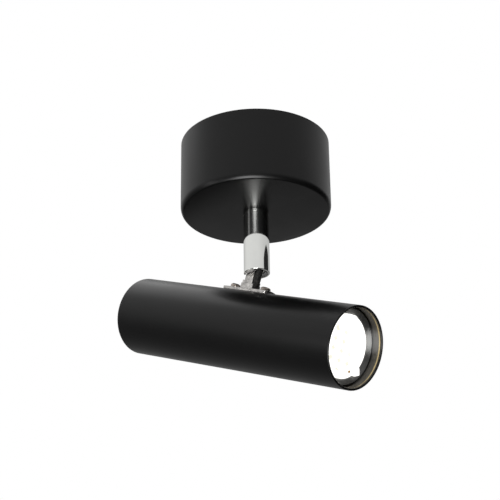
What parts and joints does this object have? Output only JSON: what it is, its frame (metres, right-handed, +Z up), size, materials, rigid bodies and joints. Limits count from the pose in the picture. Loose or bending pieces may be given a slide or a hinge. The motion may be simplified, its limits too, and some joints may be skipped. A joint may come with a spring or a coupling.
{
  "type": "ceiling spotlight",
  "caption": "Ceiling spotlight: a round canopy, a chromed stem that turns and hides a tilt joint, and a long tube head with a twist-in lamp behind its open front.",
  "frame": {"origin": "centre of the canopy's circle in the plane of the ceiling", "axes": "+Z up into the ceiling, +X the way the open front of the head points in plan, +Y to the left of the head; the head's tube lies in the XZ plane and is pitched down 21.5 degrees at rest"},
  "size_m": [0.2062, 0.106, 0.2019],
  "materials": {
    "zinc_strap": "zinc plated",
    "black_canopy_paint": "satin black",
    "black_screw_steel": "blackened",
    "white_block_plastic": "matt white",
    "clamp_brass": "plain",
    "clamp_screw_steel": "zinc plated",
    "earth_brass": "plain",
    "wire_insulation": "insulated, one colour for each wire",
    "nipple_brass": "threaded",
    "zinc_hardware": "zinc plated",
    "spring_steel": "oiled",
    "stem_chrome": "polished",
    "core_zinc": "as cast",
    "pin_steel": "turned",
    "friction_plastic": "natural",
    "tongue_steel": "satin plated, sawn edges",
    "saddle_screw_nickel": "warm nickel",
    "black_tube_paint": "satin black",
    "black_cap_paint": "satin black",
    "strip_steel": "zinc plated",
    "holder_ceramic": "unglazed",
    "contact_brass": "plain",
    "black_sleeve_plastic": "matt",
    "lamp_base_plastic": "matt white",
    "lamp_aluminium": "satin cast",
    "lamp_rim_metal": "dark satin",
    "lamp_board_laminate": "white laminate",
    "led_phosphor": "phosphor coated",
    "lamp_optic_plastic": "clear moulded, lit",
    "pin_brass": "nickel plated"
  },
  "bodies": {
    "base": {"mounting_bracket": "zinc_strap", "canopy": "black_canopy_paint", "stop_stud": "zinc_hardware", "canopy_screws": "black_screw_steel", "terminal_block": "white_block_plastic", "terminal_inserts": "clamp_brass", "terminal_screws": "clamp_screw_steel", "block_screw": "clamp_screw_steel", "earth_tag": "earth_brass", "earth_screw": "earth_brass", "supply_wires": "wire_insulation"},
    "stem": {"stem_nipple": "nipple_brass", "stem_nut": "zinc_hardware", "spring_washer": "spring_steel", "stem_washer": "zinc_hardware", "stem_collar": "stem_chrome", "stem_sleeve": "stem_chrome", "joint_core": "core_zinc", "pivot_pin": "pin_steel", "friction_washers": "friction_plastic", "stem_wires": "wire_insulation"},
    "head": {"tongue_bracket": "tongue_steel", "saddle_screws": "saddle_screw_nickel", "saddle_nuts": "zinc_hardware", "nut_washer": "zinc_hardware", "head_earth_tag": "earth_brass", "head_tube": "black_tube_paint", "rear_cap": "black_cap_paint", "holder_strip": "strip_steel", "lampholder": "holder_ceramic", "holder_contacts": "contact_brass", "holder_screws": "clamp_screw_steel", "wire_sleeve": "black_sleeve_plastic", "head_wires": "wire_insulation"},
    "lamp": {"lamp_base": "lamp_base_plastic", "lamp_body": "lamp_aluminium", "lamp_rim": "lamp_rim_metal", "lamp_board": "lamp_board_laminate", "lamp_leds": "led_phosphor", "lamp_optic": "lamp_optic_plastic", "lamp_pins": "pin_brass"}
  },
  "joints": [
    {"name": "stem_pan", "type": "hinge", "parent": "base", "child": "stem", "pos_m": [0, 0, -0.06], "axis": [0, 0, 1], "range_deg": [-165, 165]},
    {"name": "head_tilt", "type": "hinge", "parent": "stem", "child": "head", "pos_m": [0, 0, -0.0945], "axis": [0, 1, 0], "range_deg": [-21.5, 28.5], "deforming": ["stem_wires"]},
    {"name": "lamp_twist", "type": "hinge", "parent": "head", "child": "lamp", "pos_m": [-0.01708, 0, -0.13786], "axis": [0.9304, 0, -0.3665], "range_deg": [0, 18]}
  ]
}
